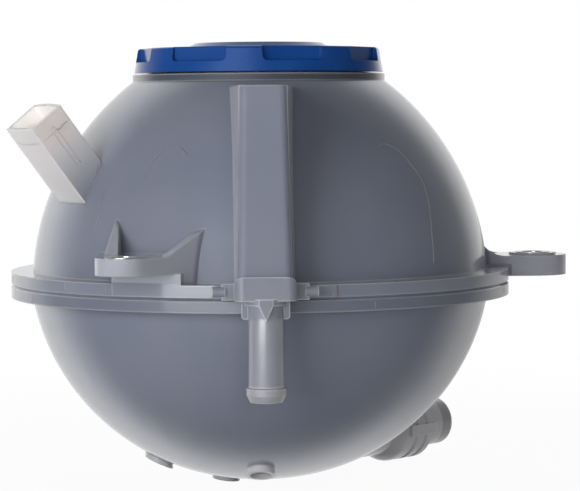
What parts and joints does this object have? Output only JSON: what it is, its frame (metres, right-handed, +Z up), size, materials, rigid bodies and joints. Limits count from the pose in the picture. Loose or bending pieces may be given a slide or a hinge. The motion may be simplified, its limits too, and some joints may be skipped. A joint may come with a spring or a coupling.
{
  "type": "coolant reservoir",
  "caption": "Round translucent coolant expansion tank with a screw cap and pressure valve, mounting lugs, a return nipple and an outlet spigot.",
  "frame": {"origin": "axis of the front mounting lug's bolt hole, at the lug's underside", "axes": "+Z up along the bolt and the tank's own axis, -Y towards the front with the return riser, +X towards the side lug"},
  "size_m": [0.1714, 0.1635, 0.1349],
  "materials": {
    "natural_plastic": "translucent natural polypropylene, satin",
    "nipple_plastic": "translucent natural polypropylene, a little clearer",
    "zinc_steel": "zinc plated",
    "blue_plastic": "moulded blue, satin gloss",
    "black_plastic": "moulded black",
    "seal_rubber": "black rubber",
    "spring_steel": "drawn wire",
    "brass": "turned"
  },
  "bodies": {
    "tank": {"upper_shell": "natural_plastic", "socket_tube": "natural_plastic", "lower_shell": "natural_plastic", "outlet_spigot": "natural_plastic", "return_nipple": "nipple_plastic", "front_lug_sleeve": "zinc_steel", "side_lug_sleeve": "zinc_steel"},
    "valve_cartridge": {"valve_housing": "black_plastic", "housing_o_ring": "seal_rubber", "spring_retainer": "black_plastic", "pressure_spring": "spring_steel"},
    "cap": {"cap_cover": "blue_plastic", "cap_stem": "black_plastic", "stem_o_ring": "seal_rubber"},
    "pressure_valve": {"pressure_plate": "brass", "pressure_seal": "seal_rubber", "vacuum_spring": "spring_steel"},
    "vacuum_valve": {"vacuum_disc": "brass", "vacuum_clip": "spring_steel"}
  },
  "joints": [
    {"name": "cap_lift", "type": "slide", "parent": "tank", "child": "valve_cartridge", "axis": [0, 0, 1], "range_m": [0, 0.01]},
    {"name": "cap_turn", "type": "hinge", "parent": "valve_cartridge", "child": "cap", "pos_m": [0.03899, 0.075, 0.056], "axis": [0, 0, 1], "range_deg": [0, 900.5]},
    {"name": "pressure_lift", "type": "slide", "parent": "valve_cartridge", "child": "pressure_valve", "axis": [0, 0, 1], "range_m": [0, 0.0025], "stiffness_N_per_m": 2000, "springref_m": -0.02, "deforming": ["pressure_spring"]},
    {"name": "vacuum_drop", "type": "slide", "parent": "pressure_valve", "child": "vacuum_valve", "axis": [0, 0, -1], "range_m": [0, 0.0012], "stiffness_N_per_m": 200, "springref_m": -0.004, "deforming": ["vacuum_spring"]}
  ],
  "couplings": [
    {"joint": "cap_turn", "follows": "cap_lift", "rad_per_m": 1570.8}
  ]
}
